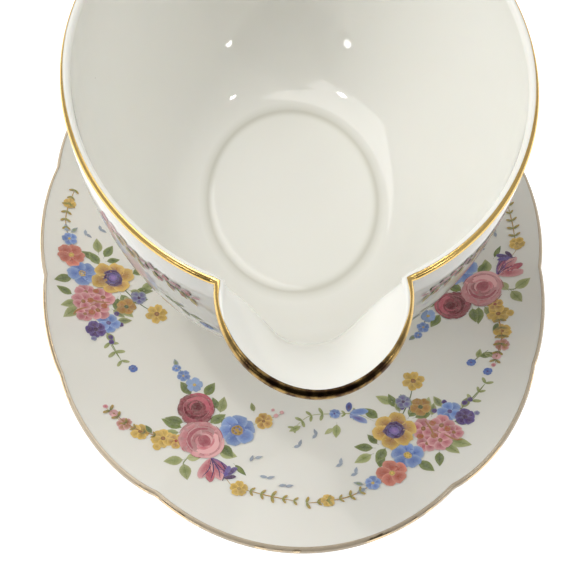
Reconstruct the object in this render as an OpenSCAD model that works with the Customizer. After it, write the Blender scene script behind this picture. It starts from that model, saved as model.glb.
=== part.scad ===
// Oval china sauce boat standing loose on its scalloped underplate.
// The origin is the bottom centre of the underplate, on the table. +Z is up,
// the spout points along -Y and the handle along +Y.

/* [Underplate] */
// Length over the two end lobes
plate_length = 204; // [168:1:246]
// Width over the two side lobes
plate_width = 148.6; // [122:0.2:180]
// Height of the top of the edge above the table
plate_height = 16; // [13:0.1:20]
// Thickness of the clay in the well
plate_thickness = 3; // [2.5:0.1:4]
// Thickness of the clay at the edge
plate_edge_thickness = 2.2; // [1.6:0.1:2.8]
// Height of the foot ring under the plate
plate_foot_height = 2.6; // [1.5:0.1:4]
// Width of the foot ring where it stands on the table
plate_foot_width = 2.4; // [1.5:0.1:4]
// Width of the oval inside the foot ring
plate_foot_inside_width = 78; // [60:1:90]
// Length of the oval inside the foot ring
plate_foot_inside_length = 112; // [90:1:130]
// How far the rim rises towards the inside, as the power of its curve
plate_curve = 1.7; // [1.2:0.1:2.5]

/* [Boat bowl] */
// Width over the rim
rim_width = 116; // [100:1:130]
// Length over the rim, without the spout
rim_length = 146.4; // [135:1:175]
// Height of the top of the rim above the table
rim_height = 80.4; // [66:0.1:97]
// Distance of the boat's middle from the plate's middle, towards the handle
boat_back = 2.5; // [0:0.1:4]
// Thickness of the wall
wall = 2.8; // [2:0.1:4]
// Thickness of the wall at the rim
lip_thickness = 2.4; // [1.6:0.1:3]
// Thickness of the floor
floor_thickness = 3; // [2.4:0.1:5]

/* [Spout] */
// Width of the spout where it leaves the rim
spout_width = 41.2; // [30:0.2:50]
// Distance from those two corners to the tip of the spout
spout_reach = 25.2; // [15:0.2:34]
// How far the tip hangs below the rim
spout_drop = 2.8; // [0:0.1:4]
// Share of the bowl's height at which the spout starts to swell out
spout_start = 0.34; // [0.2:0.01:0.6]
// How late the middle of the spout turns out towards the tip
spout_turn = 3.6; // [2.5:0.1:6]
// How much later its two shoulders turn out
spout_shoulder_turn = 24; // [0:0.5:28]
// Share of the spout's half-angle at which its channel has become a shoulder
spout_channel = 0.8; // [0.4:0.01:1]

/* [Boat foot] */
// Height of the foot under the bowl
foot_height = 13.5; // [8:0.1:18]
// Width of the flat under the bowl that the foot is fixed to
foot_top_width = 50; // [44:0.5:60]
// Length of the flat under the bowl that the foot is fixed to
foot_top_length = 67.6; // [64:0.5:84]
// How far the foot spreads outside that flat where it stands
foot_spread = 3.6; // [1:0.1:6]
// How far the waist of the foot draws in under the bowl
foot_waist = 1; // [0:0.1:2]
// Thickness of the foot's wall
foot_wall = 3; // [2:0.1:4]
// Width of the ground flat that the foot stands on
foot_tread = 2.4; // [1.6:0.1:3.5]

/* [Handle] */
// Height of the handle's upper root below the rim
handle_top_drop = 11; // [9:0.5:16]
// Height of the handle's lower root above the plate's well
handle_low_height = 36; // [28:0.5:44]
// How far the loop stands out behind the rim
handle_reach = 37; // [28:0.5:46]
// How far the loop's crest stands above its upper root
handle_rise = 17; // [8:0.5:24]
// Width of the handle's section across the loop
handle_width = 8.4; // [6:0.2:11]
// Depth of the handle's section in the plane of the loop
handle_depth = 6.4; // [5:0.2:9]
// How much wider the handle gets where it joins the bowl
handle_flare = 5; // [1:0.2:7]

/* [Gilding] */
// Thickness of the burnished gold lines
gilt_thickness = 0.12; // [0.06:0.01:0.25]
// Share of the way over the rounded lip, from outside, at which its gold starts
rim_gilt_from = 0.08; // [0.04:0.01:0.2]
// Share of the way over the rounded lip at which its gold ends
rim_gilt_to = 0.6; // [0.4:0.01:0.75]
// Width of the gold on the plate's top and under its edge
plate_gilt_width = 0.7; // [0.4:0.1:2]
// Share of the handle's section that its gold line covers
handle_gilt_share = 0.24; // [0.12:0.01:0.4]

/* [Fit] */
// Gap under the boat's foot where it stands in the well
seat_clearance = 0.1; // [0.05:0.05:0.3]

/* [Hidden] */
// Colours of the glazed clay and of the gold
china = "#f1eee2";
gold = "#c79a3a";
// Notches in the plate's edge, in degrees from the end, and their radius shares
notch_angles = [-30.5, 30.5, 59, 78.5, 101.5];
notch_shares = [0.978, 0.978, 0.99, 0.967, 0.967];
// How far each lobe between those notches bulges, as a share of the radius
lobe_bulges = [0.015, 0.018, 0.01, 0.016];
// How round each lobe is, and how soon the lobes fade out towards the plate's middle
lobe_roundness = 0.8;
lobe_fade = 6;
// Share of the way out at which the flat well turns up into the plate's rim
well_share = 0.5;
// Shares of the way out that the plate's top and underside bend at
top_shares = [0.3, 0.5, 0.58, 0.66, 0.74, 0.82, 0.9, 0.96];
under_shares = [0.96, 0.88, 0.78, 0.68, 0.58, 0.5];
edge_rings = 4;
// Points around the plate, around the foot, around the spout and around the rest of the rim
plate_points = 96;
foot_points = 56;
spout_points = 16;
rim_points = 56;
// How sharply the spout's channel turns into its shoulders
shoulder_power = 4;
// Rings up the bowl's wall and under the gold of the rounded lip
wall_rings = 16;
gilt_rings = 4;
// Places along the handle and around its section
handle_places = 26;
handle_sides = 16;
// Height of the rounded toe between the foot's side and its tread
foot_toe = 1.2;
// How far up the foot its waist sits and how late it spreads towards the ground
waist_place = 1.4;
spread_power = 3;
// How close to its roots the handle widens, and how deep that flare is beside its width
flare_power = 7;
flare_depth = 0.7;
// Shape of the bowl's side: how full it is and how soon it turns up
side_power = 2;
side_fullness = 0.5;
// Small steps for taking directions around the bowl, up its side and along the handle
step_a = 0.5;
step_u = 0.004;
step_t = 0.01;
// Derived places
well_z = plate_foot_height + plate_thickness;
foot_z = well_z + seat_clearance;
bowl_z = foot_z + foot_height;
lip_z = rim_height - lip_thickness / 2;
spout_half_angle = asin(spout_width / rim_width);
spout_corner_y = boat_back - rim_length / 2 * cos(spout_half_angle);
boat_points = spout_points + rim_points;

// ---- general helpers ----
function unit(v) = v / norm(v);
function lift(p, z) = [p[0], p[1], z];
function join(lists) = [for (l = lists) for (p = l) p];
function mean(ring) = [for (k = [0:2]) [for (p = ring) p[k]] * [for (p = ring) 1] / len(ring)];

// Closed skin over rings of equal length, ending in a point at each end. The rings turn
// anticlockwise seen from above, and run outwards over a top and then back underneath.
module skin(first, rings, last) {
    n = len(rings[0]);
    m = len(rings);
    sides = [
        for (i = [0:m - 2]) for (j = [0:n - 1]) for (half = [0, 1])
            let (a = 1 + i * n + j, b = 1 + i * n + (j + 1) % n)
            half == 0 ? [a, b, b + n] : [a, b + n, a + n]
    ];
    start = [for (j = [0:n - 1]) [0, 1 + (j + 1) % n, 1 + j]];
    end = [for (j = [0:n - 1]) [1 + m * n, 1 + (m - 1) * n + j, 1 + (m - 1) * n + (j + 1) % n]];
    polyhedron(concat([first], join(rings), [last]), concat(sides, start, end));
}

// Closed skin over rings that follow each other round a section, like a hoop.
module hoop(rings) {
    n = len(rings[0]);
    m = len(rings);
    polyhedron(join(rings), [
        for (i = [0:m - 1]) for (j = [0:n - 1]) for (half = [0, 1])
            let (a = i * n + j, b = i * n + (j + 1) % n)
            let (c = (i + 1) % m * n + j, d = (i + 1) % m * n + (j + 1) % n)
            half == 0 ? [a, b, c] : [b, d, c]
    ]);
}

// ---- underplate ----
// An angle brought into the span from the end lobe to the side lobe.
function folded(a) = let (b = abs(a % 180)) b > 90 ? 180 - b : b;
// Radius of the scalloped edge at an angle from the end, as a share of the plain oval.
function scallop(a) =
    let (f = folded(a), k = f < notch_angles[1] ? 0 : f < notch_angles[2] ? 1 : f < notch_angles[3] ? 2 : 3)
    let (t = (f - notch_angles[k]) / (notch_angles[k + 1] - notch_angles[k]))
    notch_shares[k] * (1 - t) + notch_shares[k + 1] * t
        + lobe_bulges[k] * pow(1 - pow(2 * t - 1, 2), lobe_roundness);
// Half-sizes of the plain oval that the lobes stand on, to the middle of the edge's rounding.
half_width = plate_width / 2 / scallop(90) - plate_edge_thickness / 2;
half_length = plate_length / 2 / scallop(0) - plate_edge_thickness / 2;
// A point of the plate's top face, r being the share of the way out to the edge.
function plate_top(a, r) =
    let (s = r * (1 + (scallop(a) - 1) * pow(r, lobe_fade)))
    let (rise = pow(max(0, (r - well_share) / (1 - well_share)), plate_curve))
    [
        half_width * s * sin(a),
        -half_length * s * cos(a),
        well_z + (plate_height - well_z) * rise
    ];
// Thickness of the clay a share r of the way out.
function plate_clay(r) = let (t = max(0, (r - well_share) / (1 - well_share)))
    plate_thickness + (plate_edge_thickness - plate_thickness) * t;
function plate_under(a, r) = plate_top(a, r) - [0, 0, plate_clay(r)];
// Level direction straight out of the edge.
function plate_out(a) = lift(unit([sin(a) / plate_width, -cos(a) / plate_length]), 0);
// Direction straight out of the half-round edge, from its top at t = 0 to its underside at t = 1.
function edge_out(a, t) = plate_out(a) * sin(180 * t) + [0, 0, cos(180 * t)];
// A point on that edge, with room for gold of a thickness grow.
function plate_edge(a, t, grow = 0) =
    let (r = plate_edge_thickness / 2)
    plate_top(a, 1) - [0, 0, r] + edge_out(a, t) * (r + grow);
// Share of the way out at which the gold of the edge starts.
gilt_start = 1 - 2 * plate_gilt_width / plate_width;
function plate_angles() = [for (k = [0:plate_points - 1]) 360 * k / plate_points];
// A ring of the plate's face at one share of the way out.
function plate_ring(r, grow = 0) = [for (a = plate_angles()) plate_top(a, r) + [0, 0, grow]];
function plate_under_ring(r) = [for (a = plate_angles()) plate_under(a, r)];
function plate_edge_ring(t, grow = 0) = [for (a = plate_angles()) plate_edge(a, t, grow)];

module underplate() {
    tops = [for (r = concat(top_shares, [gilt_start])) plate_ring(r)];
    edges = [for (k = [0:edge_rings]) plate_edge_ring(k / edge_rings)];
    unders = [for (r = under_shares) plate_under_ring(r)];
    color(china) union() {
        skin([0, 0, well_z], concat(tops, edges, unders), [0, 0, well_z - plate_thickness]);
        linear_extrude(well_z - plate_thickness / 2) difference() {
            foot_oval(plate_foot_width);
            foot_oval(0);
        }
    }
}
module foot_oval(grow) {
    polygon([
        for (a = plate_angles())
            [(plate_foot_inside_width / 2 + grow) * sin(a), (plate_foot_inside_length / 2 + grow) * cos(a)]
    ]);
}

module underplate_gilt_edge() {
    // The gold starts a little inside the edge, wraps round it and ends just under it.
    turns = [for (k = [0:edge_rings - 1]) k / edge_rings];
    under_gold = concat([plate_ring(gilt_start)], [for (t = turns) plate_edge_ring(t)]);
    over_gold = concat(
        [plate_ring(gilt_start, gilt_thickness)],
        [for (t = turns) plate_edge_ring(t, gilt_thickness)]
    );
    color(gold) hoop(concat(over_gold, [for (k = [edge_rings:-1:0]) under_gold[k]]));
}

// ---- boat bowl ----
// Angles around the boat from the spout, closer together round the spout.
function boat_angle(k) = k <= spout_points
    ? spout_half_angle * (2 * k / spout_points - 1)
    : spout_half_angle + (360 - 2 * spout_half_angle) * (k - spout_points) / rim_points;
function boat_angles() = [for (k = [0:boat_points - 1]) boat_angle(k)];
// How wide the oval is a share u of the way up, from the flat underneath to the rim.
function fullness(u) = pow(1 - pow(1 - u, side_power), side_fullness);
function oval_point(a, u) =
    let (g = fullness(u))
    [
        (foot_top_width + (rim_width - foot_top_width) * g) / 2 * sin(a),
        boat_back - (foot_top_length + (rim_length - foot_top_length) * g) / 2 * cos(a)
    ];
// Angle around the half-oval of the spout, or undef on the rest of the rim.
function spout_turned(a) = abs(a) < spout_half_angle ? 90 * a / spout_half_angle : undef;
function spout_shift(a) =
    let (s = spout_turned(a))
    s == undef ? [0, 0] : [
        spout_width / 2 * sin(s),
        spout_corner_y - (spout_reach - lip_thickness / 3) * cos(s)
    ] - oval_point(a, 1);
// Height of the lip: the spout's edge lies flat, so its outer corner starts a lip lower.
function lip_height(a) =
    let (s = spout_turned(a))
    s == undef ? lip_z : lip_z - (spout_drop + lip_thickness / 2) * cos(s);
// A point of the bowl's outside at angle a, a share u of the way up.
function outside(a, u) =
    let (b = a > 180 ? a - 360 : a)
    let (shoulder = min(1, pow(abs(b) / spout_half_angle / spout_channel, shoulder_power)))
    let (turn = spout_turn + spout_shoulder_turn * shoulder)
    let (swell = pow(max(0, (u - spout_start) / (1 - spout_start)), turn))
    lift(oval_point(b, u) + spout_shift(b) * swell, bowl_z + (lip_height(b) - bowl_z) * u);
function up_line(a, u) = unit(outside(a, min(1, u + step_u)) - outside(a, max(0, u - step_u)));
function outward(a, u) = unit(cross(outside(a + step_a, u) - outside(a - step_a, u), up_line(a, u)));
function clay(u) = u > 0 ? wall + (lip_thickness - wall) * u : floor_thickness;
function inside(a, u) = outside(a, u) - outward(a, u) * clay(u);
// A point on the rounded lip, from the outside at t = 0 to the inside at t = 1.
function lip(a, t, grow = 0) =
    let (n = outward(a, 1), r = lip_thickness / 2)
    outside(a, 1) - n * r + (n * cos(180 * t) + up_line(a, 1) * sin(180 * t)) * (r + grow);
// Shares of the height, closer together at the bottom and at the rim.
function share(k) = (1 - cos(180 * k / wall_rings)) / 2;
function outside_ring(u) = [for (a = boat_angles()) outside(a, u)];
function inside_ring(u) = [for (a = boat_angles()) inside(a, u)];
function floor_ring() = [for (a = boat_angles()) lift(oval_point(a, 0), bowl_z + floor_thickness)];
function lip_ring(t, grow = 0) = [for (a = boat_angles()) lip(a, t, grow)];
// Shares of the way over the lip from inside to outside: all of it, and the gold's part.
gilt_shares = [for (k = [gilt_rings:-1:0]) rim_gilt_from + (rim_gilt_to - rim_gilt_from) * k / gilt_rings];
lip_shares = concat([1, (1 + rim_gilt_to) / 2], gilt_shares, [0]);

module boat_bowl() {
    // From the middle of the floor up the inside, over the lip and down the outside.
    inner = [for (k = [1:wall_rings - 1]) inside_ring(share(k))];
    round_lip = [for (t = lip_shares) lip_ring(t)];
    outer = [for (k = [wall_rings - 1:-1:0]) outside_ring(share(k))];
    color(china) skin(
        [0, boat_back, bowl_z + floor_thickness],
        concat([floor_ring()], inner, round_lip, outer),
        [0, boat_back, bowl_z]
    );
}

module boat_gilt_rim() {
    // A thin gold skin over the outer part of the lip.
    over_gold = [for (t = gilt_shares) lip_ring(t, gilt_thickness)];
    under_gold = [for (k = [gilt_rings:-1:0]) lip_ring(gilt_shares[k])];
    color(gold) hoop(concat(over_gold, under_gold));
}

// ---- boat foot ----
// How far the foot's side stands out a share t of the way down from the bowl.
function foot_side(t) =
    -foot_waist * sin(180 * min(1, waist_place * t)) + foot_spread * pow(t, spread_power);
function boat_foot_oval(grow, z) = [
    for (a = foot_angles())
        [(foot_top_width / 2 + grow) * sin(a), boat_back - (foot_top_length / 2 + grow) * cos(a), z]
];
function foot_angles() = [for (k = [0:foot_points - 1]) 360 * k / foot_points];

module boat_foot() {
    // Down the outside, across the tread and up the inside.
    side = foot_height - foot_toe;
    edge = foot_spread - foot_toe / 2;
    outer = [for (t = [0:0.2:1]) boat_foot_oval(foot_side(t), bowl_z - side * t)];
    tread = [boat_foot_oval(edge, foot_z), boat_foot_oval(edge - foot_tread, foot_z)];
    inner = [for (t = [1:-0.25:0]) boat_foot_oval(foot_side(t) - foot_wall, bowl_z - side * t)];
    color(china) hoop(concat(outer, tread, inner));
}

// ---- handle ----
// Height of the two roots, and the back of the rim.
handle_top_z = rim_height - handle_top_drop;
handle_low_z = well_z + handle_low_height;
rim_back_y = boat_back + rim_length / 2;
// The bowl's outside at its back, at a distance x from the middle and a height z.
function back_face(x, z) =
    let (u = (z - bowl_z) / (lip_z - bowl_z), side = oval_point(90, u)[0], back = oval_point(180, u)[1])
    boat_back + (back - boat_back) * sqrt(1 - pow(x / side, 2));
// The loop between its roots: shares of its reach and of its rise above or below the roots.
loop_back = [0.27, 0.55, 0.84, 0.97, 0.88, 0.6, 0.25];
loop_up = [0.38, 0.95, 0.95, 0.22, -0.32, -0.67, -0.88];
function loop_z(s) = handle_top_z + (s > 0 ? s * handle_rise : s * (handle_top_z - handle_low_z));
handle_knots = concat(
    [[back_face(0, handle_top_z), handle_top_z]],
    [for (k = [0:len(loop_back) - 1]) [rim_back_y + loop_back[k] * handle_reach, loop_z(loop_up[k])]],
    [[back_face(0, handle_low_z), handle_low_z]]
);
// A smooth line through the knots, with a mirrored knot beyond each end.
function knot(k) =
    let (n = len(handle_knots) - 1)
    k < 0 ? 2 * handle_knots[0] - handle_knots[1]
        : k > n ? 2 * handle_knots[n] - handle_knots[n - 1] : handle_knots[k];
function handle_line(t) =
    let (s = t * (len(handle_knots) - 1), k = min(floor(s), len(handle_knots) - 2), f = s - k)
    let (a = knot(k - 1), b = knot(k), c = knot(k + 1), d = knot(k + 2))
    b + 0.5 * f * (c - a + f * (2 * a - 5 * b + 4 * c - d + f * (3 * (b - c) + d - a)));
all_round = [for (k = [0:handle_sides - 1]) 360 * k / handle_sides];
function handle_ring(t, grow = 0, spans = all_round) =
    let (p = handle_line(t), d = unit(handle_line(min(1, t + step_t)) - handle_line(max(0, t - step_t))))
    let (flare = handle_flare * pow(abs(2 * t - 1), flare_power))
    let (w = (handle_width + flare) / 2 + grow)
    let (h = (handle_depth + flare * flare_depth) / 2 + grow)
    [for (s = spans) [w * sin(s), p[0] + d[1] * h * cos(s), p[1] - d[0] * h * cos(s)]];
// The handle's end, laid against the bowl.
function root_ring(t) = [for (p = handle_ring(t)) [p[0], back_face(p[0], p[2]), p[2]]];
function root_middle(z) = [0, back_face(0, z), z];

module boat_handle() {
    loop = [for (k = [1:handle_places - 1]) handle_ring(k / handle_places)];
    color(china) skin(
        root_middle(handle_top_z),
        concat([root_ring(0)], loop, [root_ring(1)]),
        root_middle(handle_low_z)
    );
}

module handle_gilt_line() {
    // A gold stripe down the outer face of the loop, ending short of both roots.
    places = [for (k = [3:handle_places - 3]) k / handle_places];
    over = [for (k = [-2:2]) 180 * (1 + handle_gilt_share * k / 2)];
    under = [for (k = [4:-1:0]) over[k]];
    rings = [for (t = places) concat(handle_ring(t, gilt_thickness, over), handle_ring(t, 0, under))];
    color(gold) skin(mean(rings[0]), rings, mean(rings[len(rings) - 1]));
}

underplate();
underplate_gilt_edge();
boat_bowl();
boat_foot();
boat_handle();
boat_gilt_rim();
handle_gilt_line();
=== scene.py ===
import bpy
import numpy as np
from mathutils import Matrix, Vector


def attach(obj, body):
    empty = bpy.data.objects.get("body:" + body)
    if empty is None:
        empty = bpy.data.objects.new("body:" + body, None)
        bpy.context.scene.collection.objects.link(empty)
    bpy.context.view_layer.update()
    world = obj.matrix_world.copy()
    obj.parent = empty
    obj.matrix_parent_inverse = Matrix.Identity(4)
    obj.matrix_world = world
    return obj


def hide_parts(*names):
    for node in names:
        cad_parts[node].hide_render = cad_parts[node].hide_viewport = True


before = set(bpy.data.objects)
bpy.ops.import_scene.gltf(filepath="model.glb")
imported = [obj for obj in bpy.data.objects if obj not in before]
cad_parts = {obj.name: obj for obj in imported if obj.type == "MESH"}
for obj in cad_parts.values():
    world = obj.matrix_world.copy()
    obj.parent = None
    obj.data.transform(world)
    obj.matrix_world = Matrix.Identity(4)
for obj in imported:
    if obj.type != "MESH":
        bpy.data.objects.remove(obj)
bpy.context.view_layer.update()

# ======== Photographer's table ========
# A plain pale table top under a soft overhead light, with two ceiling lamps, two wall
# lamps and daylight from three sides. The view looks down over the spout.
camera_place = Vector((-0.0135717, -0.1767809, 0.2494351))
camera_right = Vector((0.99896266, -0.03675752, 0.0268793))
camera_up = Vector((0.01636047, 0.84057237, 0.54145215))
camera_back = Vector((-0.04249643, -0.54045072, 0.84030177))
camera_data = bpy.data.cameras.new("table_camera")
camera_data.lens = 60.78
camera_data.sensor_width = 36.0
camera_data.clip_start = 0.01
camera = bpy.data.objects.new("table_camera", camera_data)
bpy.context.scene.collection.objects.link(camera)
turned = Matrix((camera_right, camera_up, camera_back)).transposed().to_4x4()
camera.matrix_world = Matrix.Translation(camera_place) @ turned
bpy.context.scene.camera = camera
bpy.context.scene.view_settings.view_transform = "Standard"

BOAT_MIDDLE = Vector((0, 0, 0.05))
BULB, DAYLIGHT = (1.0, 0.98, 0.95), (0.98, 0.99, 1.0)


def lamp(name, place, size, power, colour, height=None):
    """A round lamp, or an oblong one where a height is given, turned towards the boat."""
    data = bpy.data.lights.new(name, "AREA")
    data.shape = "DISK" if height is None else "RECTANGLE"
    data.size = size
    data.size_y = size if height is None else height
    data.energy = power
    data.color = colour
    light = bpy.data.objects.new(name, data)
    light.location = place
    back = Vector(place) - BOAT_MIDDLE
    light.rotation_mode = "QUATERNION"
    light.rotation_quaternion = (-back).to_track_quat("-Z", "Y")
    bpy.context.scene.collection.objects.link(light)
    return light


lamp("softbox_overhead", (-0.30, 0.35, 1.1), 0.8, 4.5, (1.0, 0.99, 0.975), height=0.8)
lamp("ceiling_lamp_left", (-0.525, 0.12, 1.3), 0.09, 1.7, BULB)
lamp("ceiling_lamp_right", (0.673, 0.165, 1.29), 0.07, 1.0, BULB)
lamp("wall_lamp_left", (-0.42, -0.29, 0.36), 0.055, 0.13, BULB)
lamp("wall_lamp_right", (0.45, -0.27, 0.33), 0.048, 0.13, BULB)
# Daylight through thin curtains: it lights the china but leaves no mirror image in it.
curtains = (
    lamp("window_left", (-1.0, -0.05, 0.5), 0.8, 5.6, DAYLIGHT, height=0.7),
    lamp("window_right", (1.0, 0.1, 0.5), 0.6, 2.4, DAYLIGHT, height=0.5),
    lamp("window_front", (0.0, -0.36, 0.52), 0.3, 0.55, (1.0, 0.995, 0.99), height=0.25),
)
for curtain in curtains:
    curtain.visible_glossy = False

world = bpy.data.worlds.new("bright_room")
world.use_nodes = True
room = world.node_tree
room.nodes["Background"].inputs["Color"].default_value = (0.98, 0.975, 0.96, 1)
room.nodes["Background"].inputs["Strength"].default_value = 0.46
bpy.context.scene.world = world


def new_finish(name):
    """A finish to build on: the material, its node tree and its shader."""
    made = bpy.data.materials.new(name)
    made.use_nodes = True
    return made, made.node_tree, made.node_tree.nodes["Principled BSDF"]


def room_piece(name, points, faces, finish, colour, roughness):
    """A plain thing of the room, which lights or shades the boat, and its shader."""
    mesh = bpy.data.meshes.new(name)
    mesh.from_pydata(points, [], faces)
    made = bpy.data.objects.new(name, mesh)
    bpy.context.scene.collection.objects.link(made)
    material, _, shader = new_finish(finish)
    shader.inputs["Base Color"].default_value = (*colour, 1)
    shader.inputs["Roughness"].default_value = roughness
    mesh.materials.append(material)
    return made, shader


TABLE_HALF = 4
table_corners = [(x * TABLE_HALF, y * TABLE_HALF, 0) for x, y in ((-1, -1), (1, -1), (1, 1), (-1, 1))]
floor, table_shader = room_piece(
    "table_top", table_corners, [(0, 1, 2, 3)], "white_table", (0.93, 0.93, 0.92), 0.7
)
table_shader.inputs["Emission Color"].default_value = (1, 1, 1, 1)
table_shader.inputs["Emission Strength"].default_value = 0.62
floor.visible_diffuse = False

# The dark coat of whoever stands at the spout's side of the table, which the gold mirrors.
COAT_REACH, COAT_ROWS, COAT_COLUMNS = 0.75, 15, 13
coat_heights = np.radians(np.linspace(2, 100, COAT_ROWS))
coat_widths = np.radians(np.linspace(-148, -32, COAT_COLUMNS))
coat_points = [
    BOAT_MIDDLE + COAT_REACH * Vector((np.cos(e) * np.cos(a), np.cos(e) * np.sin(a), np.sin(e)))
    for e in coat_heights
    for a in coat_widths
]
coat_corners = [COAT_COLUMNS * i + j for i in range(COAT_ROWS - 1) for j in range(COAT_COLUMNS - 1)]
coat_faces = [(c, c + 1, c + COAT_COLUMNS + 1, c + COAT_COLUMNS) for c in coat_corners]
coat, _ = room_piece("dark_coat", coat_points, coat_faces, "dark_cloth", (0.02, 0.016, 0.013), 0.9)
coat.visible_camera = False

# ======== Underplate ========
# A scalloped oval plate of glazed bone china, cast in one with the oval foot ring
# under it. Its well is flat and its rim rises to twelve soft lobes with notches between.
MM = 0.001
PLATE_LENGTH, PLATE_WIDTH, PLATE_HEIGHT = 204.0, 148.6, 16.0
PLATE_CLAY, PLATE_EDGE_CLAY = 3.0, 2.2
PLATE_FOOT_HEIGHT, PLATE_FOOT_WIDTH = 2.6, 2.4
PLATE_FOOT_INSIDE = (78.0, 112.0)
PLATE_CURVE, WELL_SHARE, LOBE_FADE, LOBE_ROUNDNESS = 1.7, 0.5, 6, 0.8
NOTCH_ANGLES = (-30.5, 30.5, 59.0, 78.5, 101.5)
NOTCH_SHARES = (0.978, 0.978, 0.99, 0.967, 0.967)
LOBE_BULGES = (0.015, 0.018, 0.01, 0.016)
WELL_Z = PLATE_FOOT_HEIGHT + PLATE_CLAY
PLATE_POINTS = 432


def scallop(angle):
    """Radius of the edge at an angle from the end lobe, as a share of the plain oval."""
    turned = np.mod(np.abs(np.degrees(angle)), 180.0)
    folded = np.where(turned > 90, 180 - turned, turned)
    share = np.zeros_like(folded)
    for k, bulge in enumerate(LOBE_BULGES):
        low, high = NOTCH_ANGLES[k], NOTCH_ANGLES[k + 1]
        t = (folded - low) / (high - low)
        lobe = bulge * np.maximum(0, 1 - (2 * t - 1) ** 2) ** LOBE_ROUNDNESS
        here = NOTCH_SHARES[k] * (1 - t) + NOTCH_SHARES[k + 1] * t + lobe
        share = np.where((t >= 0) & (t <= 1), here, share)
    return share


HALF_WIDTH = PLATE_WIDTH / 2 / scallop(np.array(np.pi / 2)) - PLATE_EDGE_CLAY / 2
HALF_LENGTH = PLATE_LENGTH / 2 / scallop(np.array(0.0)) - PLATE_EDGE_CLAY / 2


def rim_rise(r):
    """How far up its rise the plate's face is, a share r of the way out."""
    return np.maximum(0, (r - WELL_SHARE) / (1 - WELL_SHARE)) ** PLATE_CURVE


def plate_top(angle, r):
    """Points of the plate's top face, in millimetres."""
    s = r * (1 + (scallop(angle) - 1) * r**LOBE_FADE)
    z = WELL_Z + (PLATE_HEIGHT - WELL_Z) * rim_rise(r)
    return np.stack([HALF_WIDTH * s * np.sin(angle), -HALF_LENGTH * s * np.cos(angle), z + 0 * s], -1)


def plate_under(angle, r):
    point = plate_top(angle, r)
    thin = np.maximum(0, (r - WELL_SHARE) / (1 - WELL_SHARE))
    point[..., 2] -= PLATE_CLAY + (PLATE_EDGE_CLAY - PLATE_CLAY) * thin
    return point


def plate_edge(angle, t, grow=0.0):
    """Points round the half-round edge, from its top at t = 0 to its underside at t = 1."""
    out = np.stack([np.sin(angle) / PLATE_WIDTH, -np.cos(angle) / PLATE_LENGTH, 0 * angle], -1)
    out /= np.linalg.norm(out, axis=-1, keepdims=True)
    radius = PLATE_EDGE_CLAY / 2
    point = plate_top(angle, np.ones_like(angle)) - np.array([0, 0, radius])
    turn = np.pi * t
    return point + (out * np.sin(turn) + np.array([0, 0, np.cos(turn)])) * (radius + grow)


def plate_height_at(x, y):
    """Height of the plate's top face over a point of the table."""
    angle = np.arctan2(x / HALF_WIDTH, -y / HALF_LENGTH)
    s = np.hypot(x / HALF_WIDTH, y / HALF_LENGTH)
    r = s.copy()
    for _ in range(6):
        r = s / (1 + (scallop(angle) - 1) * r**LOBE_FADE)
    return WELL_Z + (PLATE_HEIGHT - WELL_Z) * rim_rise(r)


def clay_piece(name, rings, poles=None, loop=False):
    """A smooth closed piece over rings of points in millimetres, as an object at the origin."""
    rows, turns = rings.shape[:2]
    points = [tuple(p) for p in rings.reshape(-1, 3) * MM]
    last = rows if loop else rows - 1
    faces = []
    for i in range(last):
        k = (i + 1) % rows
        for j in range(turns):
            m = (j + 1) % turns
            faces.append((i * turns + j, k * turns + j, k * turns + m, i * turns + m))
    if poles is not None:
        first, end = len(points), len(points) + 1
        points += [tuple(np.array(p) * MM) for p in poles]
        for j in range(turns):
            m = (j + 1) % turns
            faces.append((first, j, m))
            faces.append((end, (rows - 1) * turns + m, (rows - 1) * turns + j))
    mesh = bpy.data.meshes.new(name)
    mesh.from_pydata(points, [], faces)
    mesh.validate()
    mesh.polygons.foreach_set("use_smooth", [True] * len(mesh.polygons))
    corner = np.zeros(len(mesh.vertices) * 3)
    mesh.vertices.foreach_get("co", corner)
    corner = corner.reshape(-1, 3)
    mesh.calc_loop_triangles()
    triangle = np.zeros(len(mesh.loop_triangles) * 3, int)
    mesh.loop_triangles.foreach_get("vertices", triangle)
    a, b, c = corner[triangle.reshape(-1, 3)].transpose(1, 0, 2)
    if np.einsum("ij,ij->", a, np.cross(b, c)) < 0:
        mesh.flip_normals()
    piece = bpy.data.objects.new(name, mesh)
    bpy.context.scene.collection.objects.link(piece)
    return piece


def noise(tree, scale, detail):
    """A noise over the piece's own place; a scale of None is left to be linked."""
    place, made = tree.nodes.new("ShaderNodeTexCoord"), tree.nodes.new("ShaderNodeTexNoise")
    if scale is not None:
        made.inputs["Scale"].default_value = scale
    made.inputs["Detail"].default_value = detail
    tree.links.new(place.outputs["Object"], made.inputs["Vector"])
    return made


def feed(tree, socket, value):
    """Gives a socket its value: a number, a colour or another node's output."""
    if isinstance(value, bpy.types.NodeSocket):
        tree.links.new(value, socket)
    else:
        socket.default_value = (*value, 1) if isinstance(value, tuple) else value


def maths(tree, operation, *values):
    made = tree.nodes.new("ShaderNodeMath")
    made.operation = operation
    for socket, value in zip(made.inputs, values):
        feed(tree, socket, value)
    return made.outputs["Value"]


def mixed(tree, share, first, second):
    """A colour that goes from the first to the second as the share grows."""
    made = tree.nodes.new("ShaderNodeMix")
    made.data_type = "RGBA"
    for label, value in (("Factor", share), ("A", first), ("B", second)):
        feed(tree, made.inputs[label], value)
    return made.outputs["Result"]


def spread(tree, value, low, high, to_low=0.0, to_high=1.0, curve="LINEAR"):
    """Carries a value from one range over to another, and stops at both ends."""
    made = tree.nodes.new("ShaderNodeMapRange")
    made.interpolation_type = curve
    for socket, given in zip(made.inputs, (value, low, high, to_low, to_high)):
        feed(tree, socket, given)
    return made.outputs["Result"]


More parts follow.
